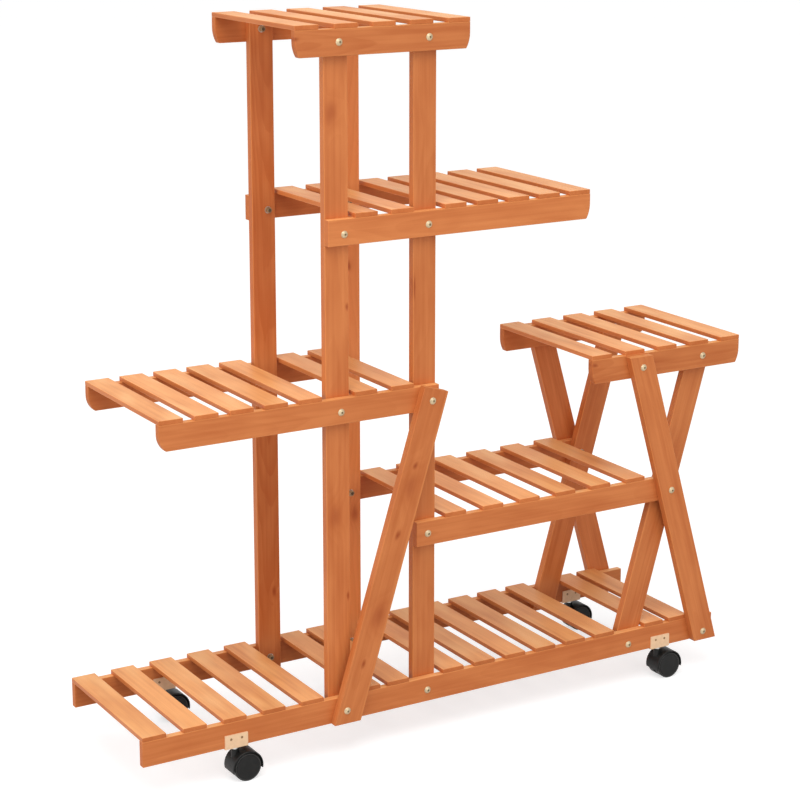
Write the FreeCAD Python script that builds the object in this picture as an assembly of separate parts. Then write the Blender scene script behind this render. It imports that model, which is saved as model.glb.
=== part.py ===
import FreeCAD, Part
import math
import os
from FreeCAD import Vector

# A slatted wooden plant stand on four twin-wheel casters. A tower of four posts carries shelves at
# four heights, and a pair of crossed legs at the right carries a small shelf of its own.
# Millimetres, +X to the right along the front, +Y to the back, +Z up. Lengths below are taken from
# the left end of the bottom rails, the outer face of the front rails and the floor. Each saved
# solid is then shifted so that the origin is on the floor, in the middle of the footprint.
#
# Every joint of the frame is a stack of boards, from the outside in: a brace or an outer leg,
# a shelf rail, and a post or an inner leg. One bolt goes through each stack.

# Boards
DEPTH = 306.0            # over the outer faces of the rails, and the length of every slat
RAIL_WIDTH, RAIL_THICK = 45.0, 13.0
POST_WIDTH, POST_THICK = 45.0, 15.0
LEG_WIDTH, LEG_THICK = 49.0, 15.0
BRACE_WIDTH, BRACE_THICK = 50.0, 15.0
SLAT_WIDTH, SLAT_THICK = 44.0, 8.0
EASE = 1.0               # radius of the softened board edges
HIDDEN_GAP = 2.0         # posts and legs stop this far under the slats

# Shelves: underside of the rails, left and right end of the rails, how far each end sweeps in at
# its lower corner, and runs of slats as (left edge of the first slat, pitch, number of slats)
SHELVES = {
    "bottom": (63.5, 0.0, 1200.0, 0.0, 0.0,
               ((0.0, 75.0, 5), (414.0, 59.0, 2), (588.0, 67.0, 6), (1038.0, 58.0, 2))),
    "middle_right": (357.0, 532.0, 1096.0, 0.0, 0.0, ((591.0, 79.0, 6),)),
    "left": (603.0, 44.0, 577.0, 12.5, 0.0, ((44.0, 64.3, 5), (409.0, 72.5, 2))),
    "upper_right": (911.0, 359.5, 892.0, 0.0, 7.5, ((411.0, 70.0, 2), (587.5, 65.0, 5))),
    "top": (1227.0, 300.5, 636.1, 7.5, 7.5, ((300.5, 72.9, 5),)),
    "right_top": (603.0, 904.0, 1244.4, 7.5, 7.5, ((904.0, 74.1, 5),)),
}
SWEEP_HEIGHT = 27.0      # height over which a rail's end sweeps in
SWEEP_CORNER_R = 3.0     # radius where the sweep meets the underside

# Uprights and diagonals, by the middle of the board
POSTS = {"left": 382.0, "right": 554.5}
BRACE_FOOT, BRACE_HEAD = (383.2, 64.0), (563.4, 644.2)
FEET_Z = 63.5
LEG_TOPS_Z = 646.0
FALLING_LEG = (1004.4, 1173.8)      # x at the top and at the foot
RISING_LEG = (1164.3, 996.6)
BACK_FALLING_SHIFT = -7.0           # the back falling leg stands a little further left

# Bolts: shelf, x, and height above the middle of that shelf's rail
BOLTS = (
    ("top", 382.0, 0.5), ("top", 555.0, 0.5),
    ("upper_right", 390.0, -3.5), ("upper_right", 555.0, -1.5),
    ("left", 382.0, -1.5), ("left", 555.0, -1.5),
    ("middle_right", 555.0, -0.5), ("middle_right", 1082.0, -1.0),
    ("bottom", 382.0, 2.0), ("bottom", 555.0, -1.0),
    ("bottom", 1001.0, -4.0), ("bottom", 1168.0, -5.0),
    ("right_top", 1009.0, -0.5), ("right_top", 1158.0, 0.5),
)
BOLT_R, BOLT_HOLE_R = 3.0, 3.25
BOLT_HEAD_R, BOLT_HEAD_HEIGHT, BOLT_HEAD_LIP = 6.3, 3.8, 0.7
BOLT_SOCKET_ACROSS_FLATS, BOLT_SOCKET_DEPTH = 4.0, 2.4
BOLT_SPARE = 1.5         # thread that stands out of the nut
WASHER_R, WASHER_THICK = 6.2, 1.2
NUT_ACROSS_FLATS, NUT_HEIGHT, NUT_BORE_R = 10.0, 5.0, 3.05

# Casters
CASTER_X = {"left": 173.0, "right": 1075.0}
TRAIL = 17.0             # the axle stands this far to the right of the swivel axis
WHEEL_R, WHEEL_INNER, WHEEL_OUTER = 25.0, 3.0, 17.5     # faces, from the middle of the caster
WHEEL_BEVEL = 1.0
WHEEL_FACE_R, WHEEL_FACE_DEPTH = 23.2, 0.8
WHEEL_RIM, WHEEL_HUB_R, WHEEL_HOLLOW = 4.0, 7.0, 10.5
WHEEL_BORE_DEPTH = 11.6
HOOD_R, HOOD_THICK, HOOD_WIDTH = 29.0, 2.0, 36.0
HOOD_EDGE_R = 1.0
HOOD_START, HOOD_SWEEP = -12.0, 206.0   # degrees round the axle, from level on the trailing side
HOOD_HUB_R, HOOD_BOSS_R, HOOD_BOSS_TOP_Z = 8.0, 6.6, 57.2
WEB_THICK = 4.4
AXLE_R, AXLE_LENGTH = 3.0, 28.0
PIN_R, PIN_FOOT_Z, PIN_END_GAP = 3.0, 49.6, 0.6
COLLAR_R, COLLAR_FOOT_Z, COLLAR_BEVEL = 6.0, 57.4, 0.6
TENON_R = 2.5
RUNNING_GAP = 0.05       # radial clearance of the wheels on the axle and of the hood on its pin
BRACKET_WIDTH, BRACKET_THICK, BRACKET_HEIGHT = 43.5, 2.0, 25.0
BRACKET_CORNER_R = 1.5
DIMPLE_R, DIMPLE_DEPTH, DIMPLE_RISE = 1.8, 0.7, 7.5      # rises are above the bracket's underside
SCREW_SPREAD, SCREW_RISE = 10.2, 17.0
SCREW_HEAD_R, SCREW_HEAD_DEPTH = 2.3, 1.4
SCREW_R, SCREW_LENGTH, SCREW_POINT = 1.3, 7.6, 1.6
RECESS_LENGTH, RECESS_WIDTH, RECESS_DEPTH = 2.8, 0.8, 0.9

BRACKET_FOOT_Z = SHELVES["bottom"][0] - BRACKET_THICK
ORIGIN = Vector(SHELVES["right_top"][2] / 2, DEPTH / 2, 0)
SIDES = ("front", "back")
Y_AXIS, Z_AXIS = Vector(0, 1, 0), Vector(0, 0, 1)


def on_side(shape, side):
    """The shape as built for the front, or its mirror image at the back."""
    if side == "front":
        return shape
    return shape.mirror(Vector(0, DEPTH / 2, 0), Y_AXIS)


def prism(points, y, thick):
    """A board whose outline is in the X-Z plane, given as corner points (x, z)."""
    corners = [Vector(x, y, z) for x, z in points]
    outline = Part.makePolygon(corners + corners[:1])
    return Part.Face(outline).extrude(Y_AXIS * thick)


def eased(board):
    return board.makeFillet(EASE, board.Edges)


def swept_end(x, z, inset, outward):
    """Edges of a rail's end from its top corner to its lower corner: square, or swept in."""
    top, foot = Vector(x, 0, z + RAIL_WIDTH), Vector(x - outward * inset, 0, z)
    if inset == 0:
        return [Part.LineSegment(top, foot)]
    start = Vector(x, 0, z + SWEEP_HEIGHT)
    radius = (SWEEP_HEIGHT ** 2 + inset ** 2) / (2 * inset)
    half_turn = math.asin(SWEEP_HEIGHT / radius) / 2
    middle = Vector(x - outward * radius * (1 - math.cos(half_turn)), 0,
                    start.z - radius * math.sin(half_turn))
    return [Part.LineSegment(top, start), Part.Arc(start, middle, foot)]


def rail(shelf):
    z, left, right, left_inset, right_inset, _ = SHELVES[shelf]
    curves = swept_end(left, z, left_inset, -1) + swept_end(right, z, right_inset, 1)
    curves.append(Part.LineSegment(Vector(left, 0, z + RAIL_WIDTH), Vector(right, 0, z + RAIL_WIDTH)))
    curves.append(Part.LineSegment(Vector(left + left_inset, 0, z), Vector(right - right_inset, 0, z)))
    outline = Part.Wire(Part.__sortEdges__([curve.toShape() for curve in curves]))
    board = Part.Face(outline).extrude(Y_AXIS * RAIL_THICK)
    swept_corners = [Vector(x, RAIL_THICK / 2, z) for x, inset in
                     ((left + left_inset, left_inset), (right - right_inset, right_inset)) if inset]
    rounded = [edge for edge in board.Edges
               if any(edge.CenterOfMass.isEqual(corner, 0.01) for corner in swept_corners)]
    if rounded:
        board = board.makeFillet(SWEEP_CORNER_R, rounded)
    return eased(board)


def post(x):
    top = SHELVES["top"][0] + RAIL_WIDTH - HIDDEN_GAP
    half = POST_WIDTH / 2
    corners = [(x - half, FEET_Z), (x + half, FEET_Z), (x + half, top), (x - half, top)]
    return eased(prism(corners, RAIL_THICK, POST_THICK))


def leg(x_top, x_foot, y):
    """A slanted leg, cut level at its top and its foot."""
    lean = math.atan2(x_foot - x_top, LEG_TOPS_Z - FEET_Z)
    half = LEG_WIDTH / 2 / math.cos(lean)
    corners = [(x_foot - half, FEET_Z), (x_foot + half, FEET_Z),
               (x_top + half, LEG_TOPS_Z), (x_top - half, LEG_TOPS_Z)]
    return eased(prism(corners, y, LEG_THICK))


def brace():
    """The diagonal across the front of the tower, cut level at its foot and square at its head."""
    foot, head = Vector(BRACE_FOOT[0], 0, BRACE_FOOT[1]), Vector(BRACE_HEAD[0], 0, BRACE_HEAD[1])
    along = (head - foot).normalize()
    across = Vector(along.z, 0, -along.x) * (BRACE_WIDTH / 2)
    half_foot = BRACE_WIDTH / 2 / along.z
    corners = [(foot.x - half_foot, foot.z), (foot.x + half_foot, foot.z),
               (head.x + across.x, head.z + across.z), (head.x - across.x, head.z - across.z)]
    return eased(prism(corners, -BRACE_THICK, BRACE_THICK))


def slats(shelf):
    z, runs = SHELVES[shelf][0] + RAIL_WIDTH, SHELVES[shelf][5]
    lefts = [first + pitch * i for first, pitch, count in runs for i in range(count)]
    return [eased(Part.makeBox(SLAT_WIDTH, DEPTH, SLAT_THICK, Vector(x, 0, z))) for x in lefts]


def frame_boards():
    """Every board of the frame except the slats, by node name."""
    boards = {"front_brace": brace()}
    for side in SIDES:
        for name, x in POSTS.items():
            boards[f"{side}_{name}_post"] = on_side(post(x), side)
        for shelf in SHELVES:
            boards[f"{side}_{shelf}_rail"] = on_side(rail(shelf), side)
        shift = BACK_FALLING_SHIFT if side == "back" else 0
        falling = leg(FALLING_LEG[0] + shift, FALLING_LEG[1] + shift, -LEG_THICK)
        boards[f"{side}_outer_leg"] = on_side(falling, side)
        boards[f"{side}_inner_leg"] = on_side(leg(*RISING_LEG, RAIL_THICK), side)
    return boards


def y_at(side, depth):
    """The y of a plane that lies this deep behind the outer face of the side's rails."""
    return depth if side == "front" else DEPTH - depth


def bolt_places():
    """(side, x, z) of every bolt."""
    for side in SIDES:
        for shelf, x, rise in BOLTS:
            yield side, x, SHELVES[shelf][0] + RAIL_WIDTH / 2 + rise


def stack_of(boards, side, x, z):
    """Outer and inner depth of the boards that the bolt at x, z goes through, and their names."""
    layers = ((-LEG_THICK, 0), (0, RAIL_THICK), (RAIL_THICK, RAIL_THICK + POST_THICK))
    depths, names = [], []
    for outer, inner in layers:
        middle = Vector(x, y_at(side, (outer + inner) / 2), z)
        for name, board in boards.items():
            if board.isInside(middle, 0.01, True):
                depths += [outer, inner]
                names.append(name)
    return min(depths), max(depths), names


def turned(profile, x, z, y):
    """A profile of (radius, depth) points, spun round the Y line through x, z."""
    corners = [Vector(x + r, y + depth, z) for r, depth in profile]
    face = Part.Face(Part.makePolygon(corners + corners[:1]))
    return face.revolve(Vector(x, y, z), Y_AXIS, 360)


def hexagonal(x, z, y, across_flats, length):
    """A hexagonal bar round the Y line through x, z."""
    corner_r = across_flats / math.sqrt(3)
    turns = [math.radians(60 * i) for i in range(6)]
    return prism([(x + corner_r * math.cos(t), z + corner_r * math.sin(t)) for t in turns], y, length)


def bolt(x, z, outer, inner):
    """A domed socket bolt: its head stands on the outer board and its thread ends past the nut."""
    foot, rim = Vector(x, outer, z), Vector(x + BOLT_HEAD_R, outer, z)
    lip = rim - Y_AXIS * BOLT_HEAD_LIP
    crown = foot - Y_AXIS * BOLT_HEAD_HEIGHT
    rise = BOLT_HEAD_HEIGHT - BOLT_HEAD_LIP
    dome_r = (BOLT_HEAD_R ** 2 + rise ** 2) / (2 * rise)
    half_turn = math.asin(BOLT_HEAD_R / dome_r) / 2
    middle = crown + Vector(dome_r * math.sin(half_turn), dome_r * (1 - math.cos(half_turn)), 0)
    section = Part.Wire([Part.makeLine(foot, rim), Part.makeLine(rim, lip),
                         Part.Arc(lip, middle, crown).toShape(), Part.makeLine(crown, foot)])
    head = Part.Face(section).revolve(foot, Y_AXIS, 360)
    length = inner - outer + WASHER_THICK + NUT_HEIGHT + BOLT_SPARE
    shank = Part.makeCylinder(BOLT_R, length, foot, Y_AXIS)
    socket = hexagonal(x, z, crown.y, BOLT_SOCKET_ACROSS_FLATS, BOLT_SOCKET_DEPTH)
    return head.fuse(shank).removeSplitter().cut(socket)


def washer(x, z, inner):
    ring = [(BOLT_HOLE_R, 0), (WASHER_R, 0), (WASHER_R, WASHER_THICK), (BOLT_HOLE_R, WASHER_THICK)]
    return turned(ring, x, z, inner)


def nut(x, z, inner):
    y = inner + WASHER_THICK
    bore = Part.makeCylinder(NUT_BORE_R, NUT_HEIGHT, Vector(x, y, z), Y_AXIS)
    return hexagonal(x, z, y, NUT_ACROSS_FLATS, NUT_HEIGHT).cut(bore)


def shifted_for_back_leg(side, x, names):
    """A bolt that holds only the back outer leg and a rail moves with that leg."""
    alone = not any("inner_leg" in name for name in names)
    if side == "back" and alone and any("outer_leg" in name for name in names):
        return x + BACK_FALLING_SHIFT
    return x


def bolted(boards):
    """Drills the boards and returns the bolts, washers and nuts."""
    bolts, washers, nuts = [], [], []
    for side, x, z in list(bolt_places()):
        outer, inner, names = stack_of(boards, side, x, z)
        x = shifted_for_back_leg(side, x, names)
        drill = on_side(Part.makeCylinder(BOLT_HOLE_R, inner - outer, Vector(x, outer, z), Y_AXIS), side)
        for name in names:
            boards[name] = boards[name].cut(drill)
        bolts.append(on_side(bolt(x, z, outer, inner), side))
        washers.append(on_side(washer(x, z, inner), side))
        nuts.append(on_side(nut(x, z, inner), side))
    return bolts, washers, nuts


def screw(x, z):
    """A countersunk wood screw driven along +Y from the front plate's outer face at y = -2."""
    y = -BRACKET_THICK
    profile = [(0, 0), (SCREW_HEAD_R, 0), (SCREW_R, SCREW_HEAD_DEPTH),
               (SCREW_R, SCREW_LENGTH - SCREW_POINT), (0, SCREW_LENGTH)]
    solid = turned(profile, x, z, y)
    for length, height in ((RECESS_LENGTH, RECESS_WIDTH), (RECESS_WIDTH, RECESS_LENGTH)):
        corner = Vector(x - length / 2, y, z - height / 2)
        solid = solid.cut(Part.makeBox(length, RECESS_DEPTH, height, corner))
    return solid


def screw_hole(x, z):
    """The space that a screw takes, a little wider, to cut from the plate and the rail."""
    head, body, end = (size + RUNNING_GAP for size in (SCREW_HEAD_R, SCREW_R, SCREW_LENGTH))
    profile = [(0, 0), (head, 0), (body, SCREW_HEAD_DEPTH), (body, end), (0, end)]
    return turned(profile, x, z, -BRACKET_THICK)


def across_rail(shape):
    """The same shape on the other face of the front rail."""
    return shape.mirror(Vector(0, RAIL_THICK / 2, 0), Y_AXIS)


def at_screws(x, make):
    """What make(x, z) builds, at the four screws of the bracket at x: two in each cheek."""
    front = [make(x + spread, BRACKET_FOOT_Z + SCREW_RISE) for spread in (-SCREW_SPREAD, SCREW_SPREAD)]
    return front + [across_rail(shape) for shape in front]


def bracket(x):
    """A U-shaped saddle plate that straddles the rail, with two countersunk holes in each cheek."""
    corner = Vector(x - BRACKET_WIDTH / 2, -BRACKET_THICK, BRACKET_FOOT_Z)
    cheek = Part.makeBox(BRACKET_WIDTH, BRACKET_THICK, BRACKET_HEIGHT, corner)
    top_corners = [edge for edge in cheek.Edges
                   if edge.BoundBox.YLength > 0 and edge.BoundBox.ZMin > BRACKET_FOOT_Z
                   and edge.BoundBox.XLength < 1]
    cheek = cheek.makeFillet(BRACKET_CORNER_R, top_corners)
    dimple_y = DIMPLE_DEPTH - BRACKET_THICK - DIMPLE_R
    cheek = cheek.cut(Part.makeSphere(DIMPLE_R, Vector(x, dimple_y, BRACKET_FOOT_Z + DIMPLE_RISE)))
    sole = Part.makeBox(BRACKET_WIDTH, RAIL_THICK + 2 * BRACKET_THICK, BRACKET_THICK, corner)
    tenon = Part.makeCylinder(TENON_R, BRACKET_THICK, Vector(x, RAIL_THICK / 2, BRACKET_FOOT_Z), Z_AXIS)
    saddle = sole.fuse([cheek, across_rail(cheek)]).removeSplitter()
    return saddle.cut(at_screws(x, screw_hole) + [tenon])


def stem(x):
    """The swivel pin: a tenon riveted into the saddle, a collar, and the pin that the hood turns on."""
    axis = Vector(x, RAIL_THICK / 2, 0)
    pieces = []
    for radius, foot, top in ((TENON_R, BRACKET_FOOT_Z, BRACKET_FOOT_Z + BRACKET_THICK),
                              (COLLAR_R, COLLAR_FOOT_Z, BRACKET_FOOT_Z),
                              (PIN_R, PIN_FOOT_Z, COLLAR_FOOT_Z)):
        pieces.append(Part.makeCylinder(radius, top - foot, axis + Z_AXIS * foot, Z_AXIS))
    tenon, collar, pin = pieces
    collar = collar.makeChamfer(COLLAR_BEVEL, [edge for edge in collar.Edges if edge.Closed])
    return tenon.fuse([collar, pin]).removeSplitter()


def cylinder_on_axle(x, radius, width):
    """A cylinder round the caster's axle, centred over the rail."""
    return Part.makeCylinder(radius, width, Vector(x + TRAIL, (RAIL_THICK - width) / 2, WHEEL_R), Y_AXIS)


def hood_sector(x, radius, width):
    """The part of such a cylinder that lies within the hood's sweep."""
    corner = Vector(x + TRAIL, (RAIL_THICK - width) / 2, WHEEL_R)
    reach, across = Vector(radius, 0, 0), Y_AXIS * width
    start = Part.makePolygon([corner, corner + reach, corner + reach + across, corner + across, corner])
    sector = Part.Face(start).revolve(corner, -Y_AXIS, HOOD_SWEEP)
    return sector.rotate(corner, -Y_AXIS, HOOD_START)


def hood(x):
    """The swivelling body: a curved cover over both wheels, a web between them and the pin's boss."""
    wheel_space = cylinder_on_axle(x, HOOD_R - HOOD_THICK, HOOD_WIDTH)
    swivel = Vector(x, RAIL_THICK / 2, 0)
    boss = Part.makeCylinder(HOOD_BOSS_R, HOOD_BOSS_TOP_Z - WHEEL_R, swivel + Z_AXIS * WHEEL_R, Z_AXIS)
    cover = hood_sector(x, HOOD_R, HOOD_WIDTH)
    rims = [edge for edge in cover.Edges if isinstance(edge.Curve, Part.Circle)]
    shell = cover.makeFillet(HOOD_EDGE_R, rims).fuse(boss).cut(wheel_space)
    web = hood_sector(x, HOOD_R - HOOD_THICK / 2, WEB_THICK)
    body = shell.fuse([web, cylinder_on_axle(x, HOOD_HUB_R, WEB_THICK)]).removeSplitter()
    hole_foot = PIN_FOOT_Z - PIN_END_GAP
    pin_hole = Part.makeCylinder(PIN_R + RUNNING_GAP, HOOD_BOSS_TOP_Z - hole_foot,
                                 swivel + Z_AXIS * hole_foot, Z_AXIS)
    return body.cut([pin_hole, cylinder_on_axle(x, AXLE_R, WEB_THICK)])


def axle(x):
    return cylinder_on_axle(x, AXLE_R, AXLE_LENGTH)


def wheel(x):
    """The inner wheel of a pair: a bevelled tread and a closed outer face, hollow towards the web."""
    width, bore, bevel = WHEEL_OUTER - WHEEL_INNER, AXLE_R + RUNNING_GAP, WHEEL_BEVEL
    rim, face = WHEEL_R - WHEEL_RIM, width - WHEEL_FACE_DEPTH
    profile = [(0, WHEEL_BORE_DEPTH), (bore, WHEEL_BORE_DEPTH), (bore, 0), (WHEEL_HUB_R, 0),
               (WHEEL_HUB_R, WHEEL_HOLLOW), (rim, WHEEL_HOLLOW), (rim, 0),
               (WHEEL_R - bevel, 0), (WHEEL_R, bevel), (WHEEL_R, width - bevel), (WHEEL_R - bevel, width),
               (WHEEL_FACE_R, width), (WHEEL_FACE_R - WHEEL_FACE_DEPTH, face), (0, face)]
    return turned(profile, x + TRAIL, WHEEL_R, RAIL_THICK / 2 + WHEEL_INNER)


def caster(x):
    """The pieces of one caster and its bracket, by the last part of the node name."""
    return {"bracket": bracket(x), "stem": stem(x), "hood": hood(x), "axle": axle(x),
            "wheel_inner": wheel(x), "wheel_outer": across_rail(wheel(x))}


def save(name, shape):
    moved = shape.copy()
    moved.translate(-ORIGIN)
    moved.exportStep(f"parts/{name}.step")


def main():
    os.makedirs("parts", exist_ok=True)
    nodes = frame_boards()
    bolts, washers, nuts = bolted(nodes)
    screws = []
    for side in SIDES:
        for end, x in CASTER_X.items():
            for name, piece in caster(x).items():
                nodes[f"{side}_{end}_caster_{name}"] = on_side(piece, side)
            holes = [on_side(hole, side) for hole in at_screws(x, screw_hole)]
            nodes[f"{side}_bottom_rail"] = nodes[f"{side}_bottom_rail"].cut(holes)
            screws += [on_side(piece, side) for piece in at_screws(x, screw)]
    for shelf in SHELVES:
        nodes[f"{shelf}_slats"] = Part.makeCompound(slats(shelf))
    for name, pieces in (("frame_bolts", bolts), ("frame_washers", washers), ("frame_nuts", nuts),
                         ("bracket_screws", screws)):
        nodes[name] = Part.makeCompound(pieces)
    for name, shape in nodes.items():
        save(name, shape)


main()
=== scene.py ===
import math
import random

import bmesh
import bpy
import numpy as np
from bpy.props import FloatProperty, FloatVectorProperty, PointerProperty
from mathutils import Matrix, Vector


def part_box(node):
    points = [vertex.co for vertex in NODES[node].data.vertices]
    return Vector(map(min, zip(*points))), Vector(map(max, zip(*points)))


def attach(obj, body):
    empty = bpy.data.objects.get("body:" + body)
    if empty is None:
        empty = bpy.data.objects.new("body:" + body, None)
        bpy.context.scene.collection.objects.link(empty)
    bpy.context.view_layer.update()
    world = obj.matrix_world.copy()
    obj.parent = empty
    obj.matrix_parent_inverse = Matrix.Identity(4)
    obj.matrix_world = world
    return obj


bl_info = {
    "name": "Rolling plant stand",
    "version": (1, 0, 0),
    "blender": (4, 5, 0),
    "location": "3D View > Sidebar > Plant stand",
    "description": "Gives a slatted plant stand its stained wood, zinc plates, bolts and casters",
    "category": "Object",
}

# Metres. +X runs along the stand towards the crossed legs, +Y to the back and +Z up, with the
# origin on the floor in the middle of the footprint.
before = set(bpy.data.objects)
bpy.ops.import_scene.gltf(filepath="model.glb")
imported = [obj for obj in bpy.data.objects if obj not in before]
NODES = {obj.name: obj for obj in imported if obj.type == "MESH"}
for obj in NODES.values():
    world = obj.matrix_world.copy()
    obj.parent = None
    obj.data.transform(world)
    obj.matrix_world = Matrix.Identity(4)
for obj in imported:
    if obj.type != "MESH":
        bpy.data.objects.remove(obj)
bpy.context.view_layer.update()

CASTERS = [f"{side}_{end}_caster" for side in ("front", "back") for end in ("left", "right")]
# How light the slats of each shelf came out
SHELVES = {"bottom": 0.96, "middle_right": 1.04, "left": 1.03, "upper_right": 1.04, "top": 1.0,
           "right_top": 1.04}
# Degrees to the right of upright
UPRIGHT, LEVEL = 0.0, 90.0
LEANS = {"front_brace": 17.25, "front_outer_leg": -16.2, "back_outer_leg": -16.2,
         "front_inner_leg": 16.06, "back_inner_leg": 16.06}

# Boards that differ from the rest. tone is how light the board came out, stain how much deeper its
# stain went in, and rings how much its growth rings show. Each knot is how far along the board from
# its middle, how far across, its radius and, for a streak of resin, how many times longer it is
# than wide.
BOARDS = {
    "front_left_post": {"knots": ((0.467, -0.008, 0.0085), (0.135, 0.019, 0.003),
                                  (-0.230, -0.006, 0.009), (-0.378, 0.019, 0.003))},
    "front_right_post": {"tone": 0.95, "knots": ((0.157, -0.0195, 0.0022, 9.0),)},
    "back_left_post": {"tone": 1.04, "stain": 0.25, "rings": 0.45,
                       "knots": ((-0.45, 0.012, 0.004),)},
    "back_right_post": {"tone": 1.2, "stain": -0.6,
                        "knots": ((0.147, 0.001, 0.004), (-0.330, 0.010, 0.007))},
    "front_brace": {"tone": 0.96, "knots": ((0.164, 0.001, 0.003), (0.126, 0.002, 0.010),
                                            (0.040, 0.003, 0.0035), (-0.110, 0.006, 0.009),
                                            (-0.199, 0.001, 0.0035))},
    "front_top_rail": {"tone": 0.93, "rings": 0.3, "knots": ((-0.165, -0.007, 0.003),)},
    "front_upper_right_rail": {"tone": 1.02, "stain": -0.25},
    "front_left_rail": {"tone": 0.98, "stain": -0.1},
    "front_right_top_rail": {"tone": 0.95, "rings": 0.3, "knots": ((-0.165, -0.013, 0.003),)},
    "front_inner_leg": {"tone": 0.95},
    "back_inner_leg": {"tone": 1.05},
    "back_outer_leg": {"tone": 1.08},
}


class Wire:
    """A shader socket on which Python's operators add the nodes that they stand for."""

    def __init__(self, socket):
        self.socket = socket

    @classmethod
    def node(cls, tree, kind, settings=None, inputs=None, output=0):
        """Adds a node, applies its settings, then sets or links its sockets. Returns one output."""
        made = tree.nodes.new(kind)
        for name, value in (settings or {}).items():
            setattr(made, name, value)
        for name, value in (inputs or {}).items():
            if isinstance(value, Wire):
                tree.links.new(value.socket, made.inputs[name])
            else:
                made.inputs[name].default_value = value
        return cls(made.outputs[output])

    @property
    def is_vector(self):
        return self.socket.type in ("VECTOR", "RGBA")

    def then(self, kind, settings=None, inputs=None, output=0):
        return self.node(self.socket.id_data, kind, settings, inputs, output)

    def combine(self, operation, first, second):
        vector = any(isinstance(value, Wire) and value.is_vector for value in (first, second))
        if vector:
            first, second = ((value,) * 3 if isinstance(value, (int, float)) else value
                             for value in (first, second))
        kind = "ShaderNodeVectorMath" if vector else "ShaderNodeMath"
        return self.then(kind, {"operation": operation}, {0: first, 1: second})

    def __add__(self, other):
        return self.combine("ADD", self, other)

    def __sub__(self, other):
        return self.combine("SUBTRACT", self, other)

    def __rsub__(self, other):
        return self.combine("SUBTRACT", other, self)

    def __mul__(self, other):
        return self.combine("MULTIPLY", self, other)

    def __truediv__(self, other):
        return self.combine("DIVIDE", self, other)

    def __pow__(self, other):
        return self.combine("POWER", self, other)

    def __abs__(self):
        return self.then("ShaderNodeMath", {"operation": "ABSOLUTE"}, {0: self})

    def fraction(self):
        return self.then("ShaderNodeMath", {"operation": "FRACT"}, {0: self})

    def larger(self, other):
        return self.combine("MAXIMUM", self, other)

    def rise(self, low, high):
        """0 at low and 1 at high, with a smooth step between them. It falls if low is the larger."""
        if low > high:
            return 1 - self.rise(high, low)
        return self.then("ShaderNodeMapRange", {"interpolation_type": "SMOOTHSTEP"},
                         {"Value": self, "From Min": low, "From Max": high})

    def parts(self):
        """The x, y and z of a vector."""
        return [self.then("ShaderNodeSeparateXYZ", None, {0: self}, axis) for axis in "XYZ"]

    def noise(self, stretch, detail, roughness=0.5):
        """Noise over this position, with stretch features to a metre along each axis."""
        return self.then("ShaderNodeTexNoise", None, {
            "Vector": self * stretch, "Scale": 1.0, "Detail": detail, "Roughness": roughness})

    def dot(self, other):
        return self.then("ShaderNodeVectorMath", {"operation": "DOT_PRODUCT"},
                         {0: self, 1: other}, "Value")

    def attribute(self, name):
        return self.then("ShaderNodeAttribute", {"attribute_name": name}, None, "Fac")

    def toned(self, level):
        """This colour, level times as light."""
        grey = self.then("ShaderNodeCombineXYZ", None, dict.fromkeys("XYZ", level))
        return self.then("ShaderNodeMix", {"data_type": "RGBA", "blend_type": "MULTIPLY"},
                         {0: 1.0, 6: self, 7: grey}, 2)

    def mixed(self, low, high):
        """The colour low where this is 0 and high where it is 1."""
        return self.then("ShaderNodeMix", {"data_type": "RGBA"}, {0: self, 6: low, 7: high}, 2)


def distance(first, second):
    return (first * first + second * second) ** 0.5


def rgba(colour):
    return (*colour, 1.0)


class Finish:
    """A new material: its tree, its shader, and the position and normal on the piece."""

    def __init__(self, name, constants=None):
        self.material = bpy.data.materials.new(name)
        self.material.use_nodes = True
        self.tree = self.material.node_tree
        self.shader = next(node for node in self.tree.nodes if node.type == "BSDF_PRINCIPLED")
        self.place = Wire.node(self.tree, "ShaderNodeTexCoord", output="Object")
        self.normal = Wire(self.place.socket.node.outputs["Normal"])
        for name, value in (constants or {}).items():
            self.shader.inputs[name].default_value = value

    def feed(self, name, wire):
        self.tree.links.new(wire.socket, self.shader.inputs[name])

    def bump(self, height, depth):
        """Raises the surface by depth where height is 1."""
        self.feed("Normal", height.then("ShaderNodeBump", None, {
            "Strength": 1.0, "Distance": depth, "Height": height}))


def dress(node, material):
    node.data.materials.clear()
    node.data.materials.append(material)
    slots = np.zeros(len(node.data.polygons), np.int32)
    node.data.polygons.foreach_set("material_index", slots)


# Wood

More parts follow.
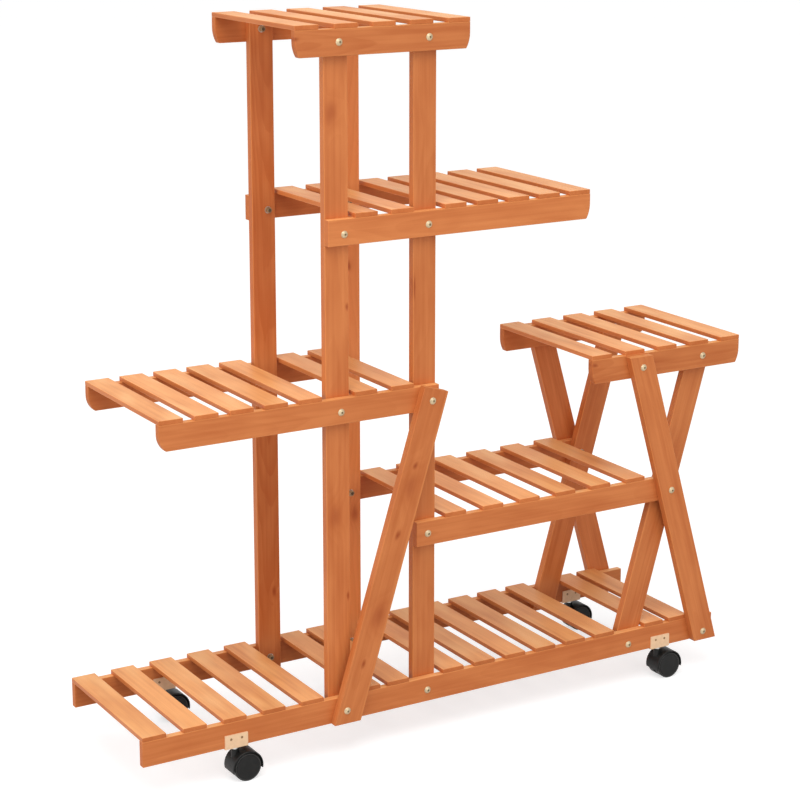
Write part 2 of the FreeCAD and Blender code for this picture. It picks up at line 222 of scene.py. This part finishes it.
class StandWood(bpy.types.PropertyGroup):
    pale: FloatVectorProperty(
        name="Pale wood", description="Stained wood between the growth rings",
        subtype="COLOR", default=(0.665, 0.220, 0.066), min=0, max=1)
    deep: FloatVectorProperty(
        name="Deep wood", description="Where the wood took more stain",
        subtype="COLOR", default=(0.51, 0.136, 0.034), min=0, max=1)
    ring: FloatVectorProperty(
        name="Growth rings", description="Dark wood of the growth rings",
        subtype="COLOR", default=(0.46, 0.108, 0.022), min=0, max=1)
    knot: FloatVectorProperty(
        name="Knots", description="Heart of a knot",
        subtype="COLOR", default=(0.34, 0.062, 0.012), min=0, max=1)
    # Painted light and sheen: faces that look up get this paler colour, as if lit more and shining.
    top: FloatVectorProperty(
        name="Upper faces", description="Faces that look up, rubbed paler in use",
        subtype="COLOR", default=(0.91, 0.415, 0.142), min=0, max=1)
    # Painted sheen: the palest patches painted on the upper faces.
    rubbed: FloatVectorProperty(
        name="Rubbed patches", description="The palest places on the upper faces",
        subtype="COLOR", default=(0.96, 0.545, 0.235), min=0, max=1)
    # Partly wear and partly painted highlight: edges where the stain rubbed thin and where light
    # catches them.
    edge: FloatVectorProperty(
        name="Edges", description="Softened edges, where the stain rubbed thin",
        subtype="COLOR", default=(0.74, 0.27, 0.08), min=0, max=1)
    ring_spacing: FloatProperty(
        name="Ring spacing", description="Distance between growth rings",
        subtype="DISTANCE", unit="LENGTH", default=0.0042, min=0.001)
    ring_strength: FloatProperty(
        name="Ring strength", description="How much the rings show",
        subtype="FACTOR", default=0.15, min=0, max=1)
    roughness: FloatProperty(
        name="Roughness", description="Of the stained and sealed surface",
        subtype="FACTOR", default=0.48, min=0, max=1)
    lacquer: FloatProperty(
        name="Lacquer", description="How much of a satin coat lies over the stain",
        subtype="FACTOR", default=0.15, min=0, max=1)


# Features to a metre along, across and through a board
RIPPLES = (16, 60, 60)
WARPS = (2.2, 9, 9)
PATCHES = (7, 26, 26)
STREAKS = (2.5, 150, 150)
FIBRES = (16, 1400, 1400)
SHEEN_PATCHES = (6, 22, 22)

# How a board lies in its trunk, in metres
ALONG_TRUNK = (2, 9)
PITH_ASIDE, PITH_BELOW = (-0.016, 0.016), (0.03, 0.06)
SLAT_SCATTER = (9, 0.05, 0.04)
RING_TAPER = (0.012, 0.03)     # how much wider the rings get for each metre along
RING_WARP, RING_RIPPLE = 0.034, 0.0022
LATE_WOOD, RING_END = (0.15, 0.88), (1.0, 0.93)     # shares of a ring's width

KNOT_LENGTH = 2.0              # how many times longer than wide
KNOT_REACH = 3.6               # radii from a knot at which the grain is straight again
KNOT_HEART = (1.7, 0.1)        # radii between which the heart darkens
KNOT_HALO = (0.0, 0.007)       # metres of swell between which the wood round a knot darkens
KNOT_FAINT_FROM = 0.005        # radius past which the heart is fainter
KNOT_UNEVENNESS = 0.018

EDGE_WEAR_AND_HIGHLIGHT = (0.0022, 0.0004)   # metres in from a board's edge between which the stain thins and a highlight is painted
FACES_UP, FACES_END = (0.6, 0.95), (0.75, 0.95)     # cosines between which a face counts as one
SLAT_TONES = 0.12              # how far the slats of one shelf differ in tone
PATCH_SHARE = 0.62             # of the stain's unevenness, against the streaks' share
FIBRE_GLOSS, PATCH_GLOSS, END_GLOSS = 0.08, 0.12, 0.15
WOOD_RELIEF = 0.0001


def board_axes(lean):
    """Turns a direction in the stand into a board's own along, across and through."""
    tilt = math.radians(lean)
    along = Vector((math.sin(tilt), 0, math.cos(tilt)))
    across = Vector((math.cos(tilt), 0, -math.sin(tilt)))
    return Matrix((along, across, (0, 1, 0)))


def knotted(along, across, knots):
    """How far the grain swells round the knots, in metres, and a mask of their hearts."""
    swell, hearts = 0.0, 0.0
    for knot_along, knot_across, radius, *length in knots:
        lengthwise = (along - knot_along) / (length[0] if length else KNOT_LENGTH)
        away = distance(lengthwise, across - knot_across) / radius
        swell = away.rise(KNOT_REACH, 0.0) * radius + swell
        strength = min(1.0, KNOT_FAINT_FROM / radius)
        hearts = (away.rise(*KNOT_HEART) * strength).larger(hearts)
    return swell, hearts


def growth_rings(chance, trunk, ripple, swell):
    """1 on the dark late wood of the rings that this board cuts through."""
    taper = chance.uniform(*RING_TAPER) * chance.choice((-1, 1))
    pith = (chance.uniform(*PITH_ASIDE), chance.uniform(*PITH_BELOW))
    warp = trunk.noise(WARPS, 2.0)
    x, y, z = trunk.parts()
    radius = (distance(y - pith[0], z - pith[1]) + x * taper + warp * RING_WARP
              + ripple * RING_RIPPLE + swell)
    phase = (radius / bpy.context.scene.stand_wood.ring_spacing).fraction()
    return phase.rise(*LATE_WOOD) * phase.rise(*RING_END)


def edge_wear_and_highlight(across, through, size):
    """1 along a board's four long edges, where the stain wears thin and a highlight is painted."""
    start, end = EDGE_WEAR_AND_HIGHLIGHT
    half_width, half_thick = size[1] / 2, size[2] / 2
    return (abs(across).rise(half_width - start, half_width - end)
            * abs(through).rise(half_thick - start, half_thick - end))


def wood_finish(name, turn, middle, size, character, per_slat=False):
    """Softwood cut from its own place in a trunk that lies along the board, under a satin stain.

    turn and middle carry a place in the stand to the board, and size is the board's length, width
    and thickness."""
    wood = bpy.context.scene.stand_wood
    chance = random.Random(name)
    finish = Finish(name, {"Coat Weight": wood.lacquer, "Coat Roughness": 0.34,
                           "Specular IOR Level": 0.14})
    board = finish.place.then("ShaderNodeMapping", None, {
        "Vector": finish.place, "Rotation": turn.to_euler(), "Location": -(turn @ middle)})
    trunk = board + (chance.uniform(*ALONG_TRUNK), 0, 0)
    tone = character.get("tone", 1.0)
    if per_slat:
        number = board.attribute(SLAT_NUMBER)
        aside = board.then("ShaderNodeCombineXYZ", None, {"Y": board.attribute(SLAT_MIDDLE)})
        luck = number.then("ShaderNodeTexWhiteNoise", {"noise_dimensions": "1D"},
                           {"W": number}, "Color")
        board = board - aside
        trunk = trunk - aside + (luck - 0.5) * SLAT_SCATTER
        tone = (luck.parts()[2] * SLAT_TONES + (1 - SLAT_TONES / 2)) * tone
    along, across, through = board.parts()
    ripple = trunk.noise(RIPPLES, 2.0)
    uneven = (ripple - 0.5) * KNOT_UNEVENNESS
    swell, hearts = knotted(along + uneven, across + uneven * 0.5, character.get("knots", ()))

    rings = growth_rings(chance, trunk, ripple, swell)
    patches = trunk.noise(PATCHES, 2.5)
    streaks = trunk.noise(STREAKS, 2.5, 0.6)
    fibres = trunk.noise(FIBRES, 2.0)

    stain = (patches.rise(0.25, 0.75) * PATCH_SHARE + streaks.rise(0.3, 0.72) * (1 - PATCH_SHARE)
             + character.get("stain", 0.0))
    colour = stain.mixed(rgba(wood.pale), rgba(wood.deep))
    shown = (patches * 1.2 + 0.4) * character.get("rings", wood.ring_strength)
    colour = (rings * shown + fibres.rise(0.45, 0.8) * 0.08).mixed(colour, rgba(wood.ring))
    if "knots" in character:
        colour = (swell.rise(*KNOT_HALO) * 0.3).mixed(colour, rgba(wood.ring))
        colour = (hearts * 0.9).mixed(colour, rgba(wood.knot))
    # Partly wear and partly painted highlight: the long edges are painted paler.
    wear_and_highlight = edge_wear_and_highlight(across, through, size) * (streaks * 0.7 + 0.1)
    colour = wear_and_highlight.mixed(colour, rgba(wood.edge))
    # Painted light and sheen: faces that look up are painted paler, less so where the stain went
    # deep.
    up = finish.normal.dot((0, 0, 1)).rise(*FACES_UP)
    colour = (up * (1.0 - stain * 0.6)).mixed(colour, rgba(wood.top))
    # Painted sheen: pale patches painted on the upper faces.
    rubbed = trunk.noise(SHEEN_PATCHES, 1.5).rise(0.46, 0.72)
    colour = (up * rubbed * 0.5).mixed(colour, rgba(wood.rubbed))
    end = abs(finish.normal.dot(turn[0])).rise(*FACES_END)
    colour = (end * 0.35).mixed(colour, rgba(wood.ring))
    finish.feed("Base Color", colour.toned(tone))
    finish.feed("Roughness", fibres * FIBRE_GLOSS + patches * PATCH_GLOSS + end * END_GLOSS
                + (wood.roughness - (FIBRE_GLOSS + PATCH_GLOSS) / 2))
    finish.bump(fibres * 0.5 + rings * 0.5, WOOD_RELIEF)
    return finish.material


def board_size(mesh, turn, middle):
    places = np.array([turn @ (vertex.co - middle) for vertex in mesh.vertices])
    return np.ptp(places, axis=0)


class STAND_OT_boards(bpy.types.Operator):
    """Stain the rails, posts, legs and the brace, with each board's grain along its length"""
    bl_idname = "stand.boards"
    bl_label = "Rails, posts, legs and brace"

    def execute(self, context):
        for name, node in NODES.items():
            if not name.endswith(("_rail", "_post", "_leg", "_brace")):
                continue
            turn = board_axes(LEANS.get(name, LEVEL if name.endswith("_rail") else UPRIGHT))
            low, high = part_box(name)
            middle = (low + high) / 2
            size = board_size(node.data, turn, middle)
            dress(node, wood_finish(f"stained_{name}", turn, middle, size, BOARDS.get(name, {})))
        return {"FINISHED"}


SLAT_NUMBER, SLAT_MIDDLE = "slat_number", "slat_middle"


def loose_shapes(mesh):
    """The vertices of each separate shape in a mesh of loose triangles, as masks, and all their
    places."""
    places = np.array([vertex.co[:] for vertex in mesh.vertices])
    _, shared = np.unique(places.round(6), axis=0, return_inverse=True)
    shared = shared.ravel()
    faces = shared[np.array([face.vertices[:] for face in mesh.polygons])]
    number, before = np.arange(shared.max() + 1), None
    while before is None or (number != before).any():
        before = number.copy()
        np.minimum.at(number, faces, number[faces].min(1, keepdims=True))
    number = number[shared]
    return [number == shape for shape in np.unique(number)], places


def middle_of(places):
    return (places.min(0) + places.max(0)) / 2


def add_attribute(mesh, name, domain, values):
    attribute = mesh.attributes.new(name, "FLOAT", domain)
    attribute.data.foreach_set("value", np.asarray(values, np.float32))


class STAND_OT_slats(bpy.types.Operator):
    """Stain the slats, each one cut from a different place in the wood"""
    bl_idname = "stand.slats"
    bl_label = "Slats"

    def execute(self, context):
        turn = Matrix(((0, 1, 0), (1, 0, 0), (0, 0, -1)))
        for shelf, tone in SHELVES.items():
            node = NODES[f"{shelf}_slats"]
            shapes, places = loose_shapes(node.data)
            numbers, middles = np.zeros(len(places)), np.zeros(len(places))
            for number, shape in enumerate(shapes):
                numbers[shape] = number + 1
                middles[shape] = middle_of(places[shape])[0]
            add_attribute(node.data, SLAT_NUMBER, "POINT", numbers)
            add_attribute(node.data, SLAT_MIDDLE, "POINT", middles)
            middle = Vector((0, 0, middle_of(places)[2]))
            width, length, thick = np.ptp(places[shapes[0]], axis=0)
            dress(node, wood_finish(f"stained_{shelf}_slats", turn, middle, (length, width, thick),
                                    {"tone": tone, "rings": 0.12}, per_slat=True))
        return {"FINISHED"}


# Metal

class StandMetal(bpy.types.PropertyGroup):
    plate: FloatVectorProperty(
        name="Plates", description="Pale zinc of the saddle plates",
        subtype="COLOR", default=(0.85, 0.57, 0.345), min=0, max=1)
    bolt: FloatVectorProperty(
        name="Bolts", description="Pale zinc of the bolts",
        subtype="COLOR", default=(0.62, 0.49, 0.30), min=0, max=1)
    nut: FloatVectorProperty(
        name="Nuts", description="Dull zinc of the nuts",
        subtype="COLOR", default=(0.40, 0.26, 0.14), min=0, max=1)
    steel: FloatVectorProperty(
        name="Stems", description="Bright zinc of stems, axles and washers",
        subtype="COLOR", default=(0.70, 0.69, 0.66), min=0, max=1)
    screw: FloatVectorProperty(
        name="Screws", description="Brown screws of the plates",
        subtype="COLOR", default=(0.40, 0.22, 0.10), min=0, max=1)
    # Painted shade in the bolts' sockets and on their thread ends.
    socket: FloatVectorProperty(
        name="Grime", description="In the sockets and on the thread ends of the bolts",
        subtype="COLOR", default=(0.10, 0.06, 0.03), min=0, max=1)


SOCKET = "socket"
SOCKET_SHADE = 0.35            # how much of a thread end's painted shade a socket has
# Metallic and added roughness of the sockets and thread ends, where shade is painted
SHADE_METALLIC, SHADE_ROUGHENS = 0.1, 0.3
METAL_CLOUDS, METAL_GRAIN = (140,) * 3, (2500,) * 3     # features to a metre
CLOUD_GLOSS, GRAIN_GLOSS = 0.16, 0.06
METAL_RELIEF = 0.00003


def metal_finish(name, colour, metallic, roughness, mottle, with_sockets=False):
    """Plated steel: faint cloudy patches, a fine grain in its gloss, and painted shade where a face
    is a socket or a thread end."""
    finish = Finish(name)
    clouds = finish.place.noise(METAL_CLOUDS, 3.0)
    grain = finish.place.noise(METAL_GRAIN, 2.0)
    darker = rgba([part * (1 - mottle) for part in colour])
    shade = clouds.rise(0.35, 0.7).mixed(rgba(colour), darker)
    gloss = (clouds * CLOUD_GLOSS + grain * GRAIN_GLOSS
             + (roughness - (CLOUD_GLOSS + GRAIN_GLOSS) / 2))
    if with_sockets:
        # Painted shade: the sockets and thread ends are darkened as if in shadow.
        socket = shade.attribute(SOCKET)
        shade = socket.mixed(shade, rgba(bpy.context.scene.stand_metal.socket))
        finish.feed("Metallic", metallic - socket * (metallic - SHADE_METALLIC))
        gloss = gloss + socket * SHADE_ROUGHENS
    else:
        finish.shader.inputs["Metallic"].default_value = metallic
    finish.feed("Base Color", shade)
    finish.feed("Roughness", gloss)
    finish.bump(grain, METAL_RELIEF)
    return finish.material


class STAND_OT_plates(bpy.types.Operator):
    """Plate the saddle plates over the bottom rails, and darken their screws"""
    bl_idname = "stand.plates"
    bl_label = "Saddle plates and screws"

    def execute(self, context):
        metal = context.scene.stand_metal
        zinc = metal_finish("pale_zinc_plate", metal.plate, metallic=0.12, roughness=0.52,
                            mottle=0.07)
        for caster in CASTERS:
            dress(NODES[f"{caster}_bracket"], zinc)
        dress(NODES["bracket_screws"], metal_finish("brown_screws", metal.screw, metallic=0.3,
                                                    roughness=0.5, mottle=0.3))
        return {"FINISHED"}


class STAND_OT_fasteners(bpy.types.Operator):
    """Plate the bolts, nuts, washers, stems and axles"""
    bl_idname = "stand.fasteners"
    bl_label = "Bolts, nuts and stems"

    socket_radius: FloatProperty(
        name="Socket radius", description="Faces this near a bolt's axis are its socket",
        subtype="DISTANCE", unit="LENGTH", default=0.0024, min=0)
    thread_end: FloatProperty(
        name="Thread end", description="Faces this near a bolt's inner end are its dark end",
        subtype="DISTANCE", unit="LENGTH", default=0.0006, min=0)

    def mark_painted_shade(self, bolts):
        """Marks the faces of the bolts' sockets and thread ends, where shade is painted."""
        shapes, places = loose_shapes(bolts)
        axes, ends = np.zeros_like(places), np.zeros(len(places))
        for shape in shapes:
            axes[shape] = middle_of(places[shape])
            ends[shape] = np.abs(places[shape, 1]).min()
        away = np.hypot(*(places - axes).T[[0, 2]])
        past = np.abs(places[:, 1]) - ends
        corners = np.array([face.vertices[:] for face in bolts.polygons])
        sockets = away[corners].max(1) < self.socket_radius
        thread_ends = past[corners].max(1) < self.thread_end
        add_attribute(bolts, SOCKET, "FACE", np.maximum(sockets * SOCKET_SHADE, thread_ends))

    def execute(self, context):
        metal = context.scene.stand_metal
        self.mark_painted_shade(NODES["frame_bolts"].data)
        dress(NODES["frame_bolts"], metal_finish("pale_zinc_bolts", metal.bolt, metallic=0.5,
                                                 roughness=0.46, mottle=0.2, with_sockets=True))
        dress(NODES["frame_nuts"], metal_finish("dull_zinc_nuts", metal.nut, metallic=0.5,
                                                roughness=0.46, mottle=0.3))
        bright = metal_finish("bright_zinc_steel", metal.steel, metallic=0.95, roughness=0.3,
                              mottle=0.15)
        dress(NODES["frame_washers"], bright)
        for caster in CASTERS:
            for part in ("stem", "axle"):
                dress(NODES[f"{caster}_{part}"], bright)
        return {"FINISHED"}


# Casters

class StandPlastic(bpy.types.PropertyGroup):
    black: FloatVectorProperty(
        name="Plastic", description="Moulded black plastic of the casters",
        subtype="COLOR", default=(0.0050, 0.0050, 0.0047), min=0, max=1)
    # Grey of worn treads, and a painted highlight on the wheels' rims.
    wear_and_highlight: FloatVectorProperty(
        name="Worn plastic", description="Where treads and rims have rubbed grey",
        subtype="COLOR", default=(0.065, 0.063, 0.060), min=0, max=1)
    cap_radius: FloatProperty(
        name="Cap radius", description="Of the disc in each wheel's face",
        subtype="DISTANCE", unit="LENGTH", default=0.0221, min=0.001)
    cap_thickness: FloatProperty(
        name="Cap thickness", description="From the floor of the wheel's recess",
        subtype="DISTANCE", unit="LENGTH", default=0.0009, min=0.0005)
    recess: FloatProperty(
        name="Recess", description="Depth of the recess in the wheel's face",
        subtype="DISTANCE", unit="LENGTH", default=0.0008, min=0)


HOOD_SHINE, WHEEL_SHINE = 0.28, 0.22
PLASTIC_GRAIN, PLASTIC_CLOUDS = (1800,) * 3, (90,) * 3     # features to a metre
PLASTIC_RELIEF = 0.00004
# Metres from a wheel's axle between which its tread is worn grey and its rim has a painted highlight
TREAD_WEAR, RIM_HIGHLIGHT, RIM_HIGHLIGHT_ENDS = (0.0243, 0.0249), (0.0221, 0.0224), (0.0239, 0.0235)

# A cap from its middle out: the share of its radius, how far in from there, and how far down
CAP_PROFILE = ((0.0, 0.0, 0.0003), (0.55, 0.0, 0.00024), (0.85, 0.0, 0.00008),
               (1.0, 0.0006, 0.0), (1.0, 0.0002, 0.0001), (1.0, 0.0, 0.0004))
CAP_STEPS = 64


def plastic_finish(name, axle=None):
    """Black moulded plastic with a fine grain. A wheel, given its axle, is worn grey on its tread
    and has a painted highlight on its rim."""
    plastic = bpy.context.scene.stand_plastic
    finish = Finish(name, {"Specular IOR Level": HOOD_SHINE if axle is None else WHEEL_SHINE})
    grain = finish.place.noise(PLASTIC_GRAIN, 2.0)
    clouds = finish.place.noise(PLASTIC_CLOUDS, 2.0)
    finish.feed("Roughness", clouds * 0.12 + grain * 0.08 + 0.32)
    amount = clouds.rise(0.3, 0.8) * 0.08
    if axle is not None:
        x, _, z = finish.place.parts()
        away = distance(x - axle.x, z - axle.z)
        tread = away.rise(*TREAD_WEAR)
        # Painted highlight: a pale ring at the wheel's rim.
        rim = away.rise(*RIM_HIGHLIGHT) * away.rise(*RIM_HIGHLIGHT_ENDS)
        amount = tread * (clouds * 0.4 + 0.1) + rim * 0.9 + amount
    finish.feed("Base Color", amount.mixed(rgba(plastic.black), rgba(plastic.wear_and_highlight)))
    finish.bump(grain, PLASTIC_RELIEF)
    return finish.material


def wheel_cap(name, wheel, outward):
    """The disc in a wheel's face, faintly dished, with a rounded edge. outward is the side in Y of
    that face, 1 or -1."""
    plastic = bpy.context.scene.stand_plastic
    low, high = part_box(wheel)
    radius, top = plastic.cap_radius, plastic.cap_thickness
    profile = [(radius * share - inset, top - down) for share, inset, down in CAP_PROFILE]
    mesh = bmesh.new()
    points = [mesh.verts.new((out, 0, rise)) for out, rise in (*profile, (radius, 0))]
    outline = [mesh.edges.new(pair) for pair in zip(points, points[1:])]
    bmesh.ops.spin(mesh, geom=points + outline, axis=(0, 0, 1), angle=2 * math.pi,
                   steps=CAP_STEPS, use_merge=True)
    bmesh.ops.remove_doubles(mesh, verts=mesh.verts, dist=1e-6)
    rim = [edge for edge in mesh.edges if edge.is_boundary]
    bmesh.ops.holes_fill(mesh, edges=rim, sides=0)
    bmesh.ops.rotate(mesh, verts=mesh.verts,
                     matrix=Matrix.Rotation(-outward * math.pi / 2, 3, "X"))
    face = high.y if outward > 0 else low.y
    middle = (low + high) / 2
    bmesh.ops.translate(mesh, verts=mesh.verts,
                        vec=(middle.x, face - outward * plastic.recess, middle.z))
    bmesh.ops.recalc_face_normals(mesh, faces=mesh.faces)
    return new_object(name, mesh)


def new_object(name, mesh):
    """An object in the scene from a bmesh, which is freed."""
    data = bpy.data.meshes.new(name)
    mesh.to_mesh(data)
    mesh.free()
    made = bpy.data.objects.new(name, data)
    bpy.context.scene.collection.objects.link(made)
    return made


class STAND_OT_casters(bpy.types.Operator):
    """Mould the casters' hoods and wheels, and set a disc in the face of each wheel"""
    bl_idname = "stand.casters"
    bl_label = "Casters"

    def execute(self, context):
        hoods = plastic_finish("black_plastic_hood")
        for caster in CASTERS:
            dress(NODES[f"{caster}_hood"], hoods)
            for side in ("outer", "inner"):
                wheel = f"{caster}_wheel_{side}"
                low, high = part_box(wheel)
                material = plastic_finish(f"black_plastic_{wheel}", (low + high) / 2)
                dress(NODES[wheel], material)
                outward = -1 if (side == "outer") == caster.startswith("front") else 1
                cap = wheel_cap(f"{wheel}_cap", wheel, outward)
                dress(cap, material)
                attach(cap, f"{caster}_{side}_wheel")
        return {"FINISHED"}


# Stage

class StandStage(bpy.types.PropertyGroup):
    key: FloatProperty(
        name="Key light", description="Power of the large lamp above the front left",
        unit="POWER", default=106.0, min=0)
    front_fill: FloatProperty(
        name="Front fill", description="Power of the low lamp in front",
        unit="POWER", default=42.0, min=0)
    side_fill: FloatProperty(
        name="Side fill", description="Power of the lamp at the left",
        unit="POWER", default=46.0, min=0)
    sky: FloatProperty(
        name="Sky", description="Strength of the even white light all round",
        default=0.66, min=0)
    floor: FloatProperty(
        name="Floor", description="How pale the floor is",
        subtype="FACTOR", default=0.52, min=0, max=1)


# Where each lamp hangs and how wide it is, in metres
LAMPS = {"key": ((-1.6, -2.2, 4.4), 3.6), "front_fill": ((0.6, -4.4, 1.6), 4.0),
         "side_fill": ((-4.2, -0.6, 1.4), 2.5)}
LAMPS_FACE = Vector((0, 0, 0.6))
FLOOR_SIZE = 60.0

CAMERA_TARGET = Vector((-0.0335, 0.0, 0.7306))
CAMERA_AZIMUTH, CAMERA_ELEVATION, CAMERA_DISTANCE = -30.72, 12.88, 3.857
CAMERA_SENSOR = 36.0           # millimetres
CAMERA_FOCAL_SHARE = 2.69      # focal length over the picture's width
CAMERA_SHIFT = -0.1


def add_lamp(name, place, size, power):
    """A round soft lamp that faces the middle of the stand."""
    light = bpy.data.lights.new(name, "AREA")
    light.shape, light.size, light.energy = "DISK", size, power
    lamp = bpy.data.objects.new(name, light)
    bpy.context.scene.collection.objects.link(lamp)
    lamp.location = place
    lamp.rotation_mode = "QUATERNION"
    lamp.rotation_quaternion = (LAMPS_FACE - Vector(place)).to_track_quat("-Z", "Y")


def seen(tree):
    """1 where the camera sees a surface itself, in a mirror or through glass, and 0 elsewhere."""
    path = Wire.node(tree, "ShaderNodeLightPath")
    camera, glossy, through = (Wire(path.socket.node.outputs[f"Is {name} Ray"])
                               for name in ("Camera", "Glossy", "Transmission"))
    return camera.larger(glossy).larger(through)


def light_world(strength):
    """White where it is seen, and strength times as bright where it lights the stand."""
    world = bpy.data.worlds.new("studio")
    bpy.context.scene.world = world
    world.use_nodes = True
    background = next(node for node in world.node_tree.nodes if node.type == "BACKGROUND")
    background.inputs["Color"].default_value = (1, 1, 1, 1)
    level = seen(world.node_tree) * (1 - strength) + strength
    world.node_tree.links.new(level.socket, background.inputs["Strength"])


def pale_floor(pale, sky):
    """A floor that looks white where nothing shades it."""
    mesh = bmesh.new()
    bmesh.ops.create_grid(mesh, x_segments=1, y_segments=1, size=FLOOR_SIZE)
    floor = new_object("floor", mesh)
    finish = Finish("pale_floor", {"Base Color": (pale, pale, pale, 1), "Roughness": 0.9,
                                   "Specular IOR Level": 0.0, "Emission Strength": 1.0})
    glow = 1 - pale * sky
    finish.feed("Emission Color", seen(finish.tree).mixed((0, 0, 0, 1), (glow, glow, glow, 1)))
    dress(floor, finish.material)
    return floor


def add_camera():
    camera = bpy.data.cameras.new("camera")
    camera.sensor_width = CAMERA_SENSOR
    camera.lens = CAMERA_FOCAL_SHARE * camera.sensor_width
    camera.shift_y = CAMERA_SHIFT
    eye = bpy.data.objects.new("camera", camera)
    bpy.context.scene.collection.objects.link(eye)
    side, rise = math.radians(CAMERA_AZIMUTH), math.radians(CAMERA_ELEVATION)
    back = Vector((math.sin(side) * math.cos(rise), -math.cos(side) * math.cos(rise),
                   math.sin(rise)))
    eye.location = CAMERA_TARGET + back * CAMERA_DISTANCE
    eye.rotation_mode = "QUATERNION"
    eye.rotation_quaternion = (-back).to_track_quat("-Z", "Y")
    bpy.context.scene.camera = eye


class STAND_OT_stage(bpy.types.Operator):
    """Set up the pale floor, the soft studio light and the camera"""
    bl_idname = "stand.stage"
    bl_label = "Floor, light and camera"

    def execute(self, context):
        stage = context.scene.stand_stage
        pale_floor(stage.floor, stage.sky)
        light_world(stage.sky)
        for name, (place, size) in LAMPS.items():
            add_lamp(name, place, size, getattr(stage, name))
        add_camera()
        context.scene.view_settings.view_transform = "Standard"
        return {"FINISHED"}


class STAND_PT_panel(bpy.types.Panel):
    """The steps that dress the stand, in order"""
    bl_idname = "STAND_PT_panel"
    bl_label = "Plant stand"
    bl_space_type = "VIEW_3D"
    bl_region_type = "UI"
    bl_category = "Plant stand"

    def draw(self, context):
        for operator in OPERATORS:
            self.layout.operator(operator.bl_idname)
        for group_name in GROUPS:
            group = getattr(context.scene, group_name)
            box = self.layout.box()
            for name in type(group).__annotations__:
                box.prop(group, name)


OPERATORS = (STAND_OT_boards, STAND_OT_slats, STAND_OT_plates, STAND_OT_fasteners,
             STAND_OT_casters, STAND_OT_stage)
GROUPS = {"stand_wood": StandWood, "stand_metal": StandMetal, "stand_plastic": StandPlastic,
          "stand_stage": StandStage}
CLASSES = (*GROUPS.values(), *OPERATORS, STAND_PT_panel)


def register():
    for item in CLASSES:
        bpy.utils.register_class(item)
    for name, group in GROUPS.items():
        setattr(bpy.types.Scene, name, PointerProperty(type=group))


def unregister():
    for name in GROUPS:
        delattr(bpy.types.Scene, name)
    for item in reversed(CLASSES):
        bpy.utils.unregister_class(item)


def main():
    register()
    bpy.ops.stand.boards()
    bpy.ops.stand.slats()
    bpy.ops.stand.plates()
    bpy.ops.stand.fasteners()
    bpy.ops.stand.casters()
    bpy.ops.stand.stage()


if __name__ == "__main__":
    main()
